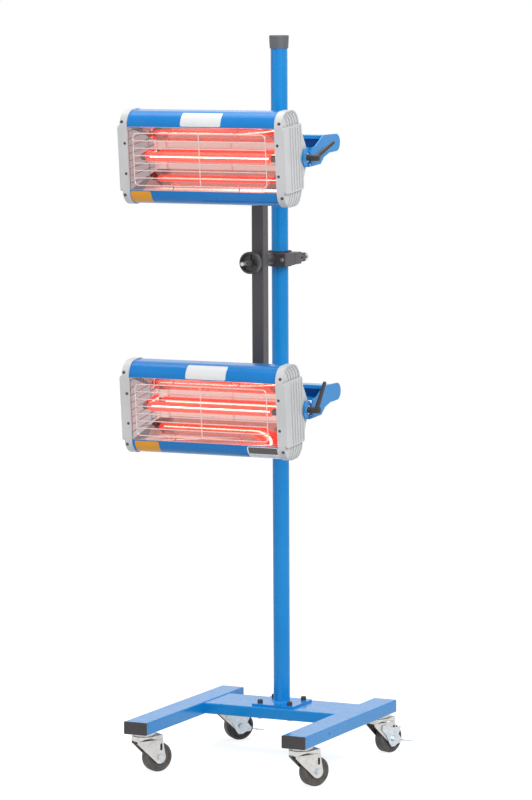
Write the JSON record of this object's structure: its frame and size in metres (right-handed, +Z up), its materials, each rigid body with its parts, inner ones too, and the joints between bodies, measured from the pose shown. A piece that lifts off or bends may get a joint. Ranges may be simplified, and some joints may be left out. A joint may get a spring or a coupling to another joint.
{
  "type": "infrared curing lamp",
  "caption": "Infrared curing lamp on a wheeled stand: round column, sliding clamp, turning bar and twin tilting lamp heads with wire guards.",
  "frame": {"origin": "on the floor under the wheels, on the column's axis", "axes": "+Z up along the column, -Y to the front where the heads shine, +X to the clamping levers' side"},
  "size_m": [0.4974, 0.613, 1.724],
  "materials": {
    "blue_paint": "gloss enamel",
    "blue_shell": "gloss powder coat",
    "black_plastic": "fine moulded",
    "dark_coat": "satin",
    "zinc": "bright zinc plate",
    "tread": "matt",
    "pale_cap": "satin moulded",
    "dark_screw": "blackened",
    "bright_sheet": "mirror bright",
    "bright_wire": "bright",
    "ruby_glass": "ruby, clear",
    "hot_element": "hot"
  },
  "bodies": {
    "stand": {"base_rails": "blue_paint", "cross_member": "blue_paint", "rail_plugs": "black_plastic", "foot_plate": "blue_paint", "column_tube": "blue_paint", "column_cap": "black_plastic", "foot_bolts": "zinc", "bolt_caps": "black_plastic", "caster_heads": "zinc"},
    "caster_front_left": {"fork_front_left": "zinc", "axle_front_left": "zinc"},
    "roller_front_left": {"wheel_front_left": "tread"},
    "caster_front_right": {"fork_front_right": "zinc", "axle_front_right": "zinc"},
    "roller_front_right": {"wheel_front_right": "tread"},
    "caster_rear_left": {"fork_rear_left": "zinc", "axle_rear_left": "zinc"},
    "roller_rear_left": {"wheel_rear_left": "tread"},
    "pedal_rear_left": {"brake_rear_left": "zinc"},
    "caster_rear_right": {"fork_rear_right": "zinc", "axle_rear_right": "zinc"},
    "roller_rear_right": {"wheel_rear_right": "tread"},
    "pedal_rear_right": {"brake_rear_right": "zinc"},
    "slider": {"column_liner": "black_plastic"},
    "clamp": {"clamp_front": "dark_coat", "clamp_rear": "dark_coat", "clamp_screws": "zinc", "spigot": "dark_coat", "stud": "zinc"},
    "lock": {"lock_knob": "black_plastic", "lock_nut": "zinc"},
    "knob": {"bar_knob": "black_plastic"},
    "carrier": {"carrier_bar": "dark_coat", "bar_plugs": "black_plastic", "yoke_mounts": "blue_paint", "upper_channel": "blue_paint", "lower_channel": "blue_paint", "upper_arms": "blue_paint", "lower_arms": "blue_paint", "yoke_bolts": "zinc"},
    "upper_head": {"upper_housing": "blue_shell", "upper_caps": "pale_cap", "upper_cap_screws": "dark_screw", "upper_reflector": "bright_sheet", "upper_tube": "ruby_glass", "upper_element": "hot_element", "upper_guard": "bright_wire", "upper_rear_cover": "pale_cap", "upper_pivots": "zinc"},
    "upper_clamping_lever": {"upper_lever": "black_plastic"},
    "lower_head": {"lower_housing": "blue_shell", "lower_caps": "pale_cap", "lower_cap_screws": "dark_screw", "lower_reflector": "bright_sheet", "lower_tube": "ruby_glass", "lower_element": "hot_element", "lower_guard": "bright_wire", "lower_rear_cover": "pale_cap", "lower_pivots": "zinc"},
    "lower_clamping_lever": {"lower_lever": "black_plastic"}
  },
  "joints": [
    {"name": "swivel_front_left", "type": "hinge", "parent": "stand", "child": "caster_front_left", "pos_m": [-0.205, -0.325, 0.09], "axis": [0, 0, 1], "continuous": true},
    {"name": "roll_front_left", "type": "hinge", "parent": "caster_front_left", "child": "roller_front_left", "pos_m": [-0.18594, -0.29565, 0.035], "axis": [-0.8387, 0.5446, 0], "continuous": true},
    {"name": "swivel_front_right", "type": "hinge", "parent": "stand", "child": "caster_front_right", "pos_m": [0.205, -0.325, 0.09], "axis": [0, 0, 1], "continuous": true},
    {"name": "roll_front_right", "type": "hinge", "parent": "caster_front_right", "child": "roller_front_right", "pos_m": [0.22303, -0.295, 0.035], "axis": [-0.8572, 0.515, 0], "continuous": true},
    {"name": "swivel_rear_left", "type": "hinge", "parent": "stand", "child": "caster_rear_left", "pos_m": [-0.205, 0.105, 0.09], "axis": [0, 0, 1], "continuous": true},
    {"name": "roll_rear_left", "type": "hinge", "parent": "caster_rear_left", "child": "roller_rear_left", "pos_m": [-0.18113, 0.1306, 0.035], "axis": [-0.7314, 0.682, 0], "continuous": true},
    {"name": "brake_release_rear_left", "type": "hinge", "parent": "caster_rear_left", "child": "pedal_rear_left", "pos_m": [-0.18113, 0.1306, 0.035], "axis": [0.7314, -0.682, 0], "range_deg": [0, 20]},
    {"name": "swivel_rear_right", "type": "hinge", "parent": "stand", "child": "caster_rear_right", "pos_m": [0.205, 0.105, 0.09], "axis": [0, 0, 1], "continuous": true},
    {"name": "roll_rear_right", "type": "hinge", "parent": "caster_rear_right", "child": "roller_rear_right", "pos_m": [0.21811, 0.13745, 0.035], "axis": [-0.9272, 0.3746, 0], "continuous": true},
    {"name": "brake_release_rear_right", "type": "hinge", "parent": "caster_rear_right", "child": "pedal_rear_right", "pos_m": [0.21811, 0.13745, 0.035], "axis": [0.9272, -0.3746, 0], "range_deg": [0, 20]},
    {"name": "column_slide", "type": "slide", "parent": "stand", "child": "slider", "axis": [0, 0, 1], "range_m": [-0.5, 0.45]},
    {"name": "column_turn", "type": "hinge", "parent": "slider", "child": "clamp", "pos_m": [0, 0, 1.197], "axis": [0, 0, 1], "continuous": true},
    {"name": "lock_turn", "type": "hinge", "parent": "clamp", "child": "lock", "pos_m": [0.0305, 0.05, 1.197], "axis": [0, 1, 0], "continuous": true},
    {"name": "knob_turn", "type": "hinge", "parent": "clamp", "child": "knob", "pos_m": [0, -0.15, 1.197], "axis": [0, -1, 0], "continuous": true},
    {"name": "carrier_turn", "type": "hinge", "parent": "clamp", "child": "carrier", "pos_m": [0, -0.108, 1.197], "axis": [0, -1, 0], "range_deg": [-90, 90]},
    {"name": "upper_tilt", "type": "hinge", "parent": "carrier", "child": "upper_head", "pos_m": [0, -0.307, 1.453], "axis": [1, 0, 0], "range_deg": [-60, 85]},
    {"name": "upper_lever_turn", "type": "hinge", "parent": "upper_head", "child": "upper_clamping_lever", "pos_m": [0.23, -0.307, 1.453], "axis": [1, 0, 0], "range_deg": [-120, 120]},
    {"name": "lower_tilt", "type": "hinge", "parent": "carrier", "child": "lower_head", "pos_m": [0, -0.307, 0.876], "axis": [1, 0, 0], "range_deg": [-60, 85]},
    {"name": "lower_lever_turn", "type": "hinge", "parent": "lower_head", "child": "lower_clamping_lever", "pos_m": [0.23, -0.307, 0.876], "axis": [1, 0, 0], "range_deg": [-120, 120]}
  ]
}
